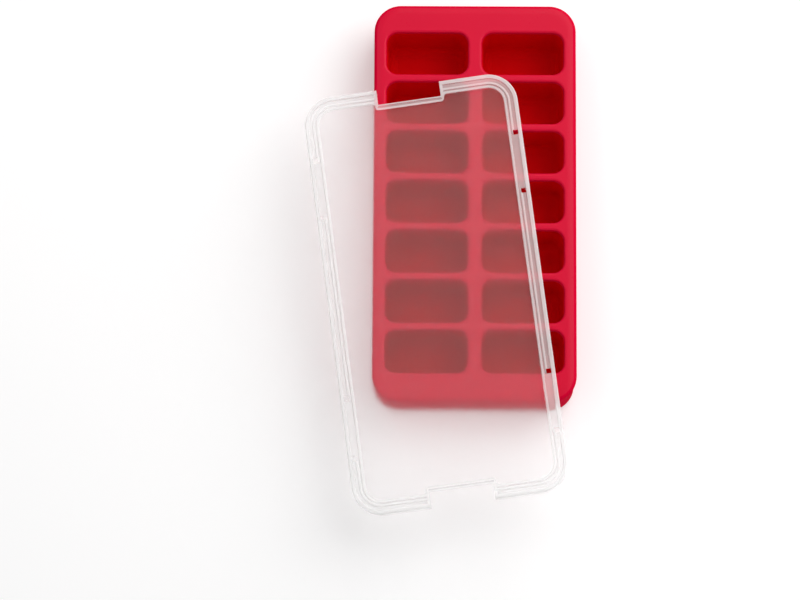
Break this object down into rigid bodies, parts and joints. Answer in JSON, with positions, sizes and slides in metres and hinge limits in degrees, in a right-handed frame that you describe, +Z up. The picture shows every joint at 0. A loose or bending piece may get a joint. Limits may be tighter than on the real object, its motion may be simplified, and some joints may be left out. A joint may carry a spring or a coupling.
{
  "type": "ice cube tray",
  "caption": "Flexible silicone ice cube tray with rows of oblong pockets, push-up floors and an outer skirt, and a translucent lid with spring tabs laid askew on it.",
  "frame": {"origin": "middle of the tray's base, on the plane that the tray stands on", "axes": "+Z up, +Y along the tray's length towards its uncovered end, +X across the tray"},
  "size_m": [0.1472, 0.2813, 0.0462],
  "materials": {
    "red_silicone": "satin moulded silicone",
    "frosted_plastic": "translucent frosted polypropylene"
  },
  "bodies": {
    "tray": {"tray_deck": "red_silicone", "tray_skirt": "red_silicone", "pocket_01": "red_silicone", "pocket_02": "red_silicone", "pocket_03": "red_silicone", "pocket_04": "red_silicone", "pocket_05": "red_silicone", "pocket_06": "red_silicone", "pocket_07": "red_silicone", "pocket_08": "red_silicone", "pocket_09": "red_silicone", "pocket_10": "red_silicone", "pocket_11": "red_silicone", "pocket_12": "red_silicone", "pocket_13": "red_silicone", "pocket_14": "red_silicone"},
    "pocket_floor_01": {"pocket_floor_01": "red_silicone"},
    "pocket_floor_02": {"pocket_floor_02": "red_silicone"},
    "pocket_floor_03": {"pocket_floor_03": "red_silicone"},
    "pocket_floor_04": {"pocket_floor_04": "red_silicone"},
    "pocket_floor_05": {"pocket_floor_05": "red_silicone"},
    "pocket_floor_06": {"pocket_floor_06": "red_silicone"},
    "pocket_floor_07": {"pocket_floor_07": "red_silicone"},
    "pocket_floor_08": {"pocket_floor_08": "red_silicone"},
    "pocket_floor_09": {"pocket_floor_09": "red_silicone"},
    "pocket_floor_10": {"pocket_floor_10": "red_silicone"},
    "pocket_floor_11": {"pocket_floor_11": "red_silicone"},
    "pocket_floor_12": {"pocket_floor_12": "red_silicone"},
    "pocket_floor_13": {"pocket_floor_13": "red_silicone"},
    "pocket_floor_14": {"pocket_floor_14": "red_silicone"},
    "lid": {"lid": "frosted_plastic"},
    "lid_tab_north_east": {"lid_tab_north_east": "frosted_plastic"},
    "lid_tab_north_west": {"lid_tab_north_west": "frosted_plastic"},
    "lid_tab_south_east": {"lid_tab_south_east": "frosted_plastic"},
    "lid_tab_south_west": {"lid_tab_south_west": "frosted_plastic"}
  },
  "joints": [
    {"name": "floor_01_push", "type": "slide", "parent": "tray", "child": "pocket_floor_01", "axis": [0, 0, 1], "range_m": [0, 0.008], "stiffness_N_per_m": 300},
    {"name": "floor_02_push", "type": "slide", "parent": "tray", "child": "pocket_floor_02", "axis": [0, 0, 1], "range_m": [0, 0.008], "stiffness_N_per_m": 300},
    {"name": "floor_03_push", "type": "slide", "parent": "tray", "child": "pocket_floor_03", "axis": [0, 0, 1], "range_m": [0, 0.008], "stiffness_N_per_m": 300},
    {"name": "floor_04_push", "type": "slide", "parent": "tray", "child": "pocket_floor_04", "axis": [0, 0, 1], "range_m": [0, 0.008], "stiffness_N_per_m": 300},
    {"name": "floor_05_push", "type": "slide", "parent": "tray", "child": "pocket_floor_05", "axis": [0, 0, 1], "range_m": [0, 0.008], "stiffness_N_per_m": 300},
    {"name": "floor_06_push", "type": "slide", "parent": "tray", "child": "pocket_floor_06", "axis": [0, 0, 1], "range_m": [0, 0.008], "stiffness_N_per_m": 300},
    {"name": "floor_07_push", "type": "slide", "parent": "tray", "child": "pocket_floor_07", "axis": [0, 0, 1], "range_m": [0, 0.008], "stiffness_N_per_m": 300},
    {"name": "floor_08_push", "type": "slide", "parent": "tray", "child": "pocket_floor_08", "axis": [0, 0, 1], "range_m": [0, 0.008], "stiffness_N_per_m": 300},
    {"name": "floor_09_push", "type": "slide", "parent": "tray", "child": "pocket_floor_09", "axis": [0, 0, 1], "range_m": [0, 0.008], "stiffness_N_per_m": 300},
    {"name": "floor_10_push", "type": "slide", "parent": "tray", "child": "pocket_floor_10", "axis": [0, 0, 1], "range_m": [0, 0.008], "stiffness_N_per_m": 300},
    {"name": "floor_11_push", "type": "slide", "parent": "tray", "child": "pocket_floor_11", "axis": [0, 0, 1], "range_m": [0, 0.008], "stiffness_N_per_m": 300},
    {"name": "floor_12_push", "type": "slide", "parent": "tray", "child": "pocket_floor_12", "axis": [0, 0, 1], "range_m": [0, 0.008], "stiffness_N_per_m": 300},
    {"name": "floor_13_push", "type": "slide", "parent": "tray", "child": "pocket_floor_13", "axis": [0, 0, 1], "range_m": [0, 0.008], "stiffness_N_per_m": 300},
    {"name": "floor_14_push", "type": "slide", "parent": "tray", "child": "pocket_floor_14", "axis": [0, 0, 1], "range_m": [0, 0.008], "stiffness_N_per_m": 300},
    {"name": "lid_lift", "type": "slide", "parent": "tray", "child": "lid", "axis": [0, 0, 1], "range_m": [0, 0.08]},
    {"name": "tab_north_east_flex", "type": "hinge", "parent": "lid", "child": "lid_tab_north_east", "pos_m": [0.02684, 0.02006, 0.04205], "axis": [0.1351, -0.9904, -0.0296], "range_deg": [0, 10], "stiffness_Nm_per_rad": 0.05},
    {"name": "tab_north_west_flex", "type": "hinge", "parent": "lid", "child": "lid_tab_north_west", "pos_m": [-0.08656, 0.00483, 0.03395], "axis": [-0.1351, 0.9904, 0.0296], "range_deg": [0, 10], "stiffness_Nm_per_rad": 0.05},
    {"name": "tab_south_east_flex", "type": "hinge", "parent": "lid", "child": "lid_tab_south_east", "pos_m": [0.04462, -0.11027, 0.03816], "axis": [0.1351, -0.9904, -0.0296], "range_deg": [0, 10], "stiffness_Nm_per_rad": 0.05},
    {"name": "tab_south_west_flex", "type": "hinge", "parent": "lid", "child": "lid_tab_south_west", "pos_m": [-0.06877, -0.1255, 0.03006], "axis": [-0.1351, 0.9904, 0.0296], "range_deg": [0, 10], "stiffness_Nm_per_rad": 0.05}
  ]
}
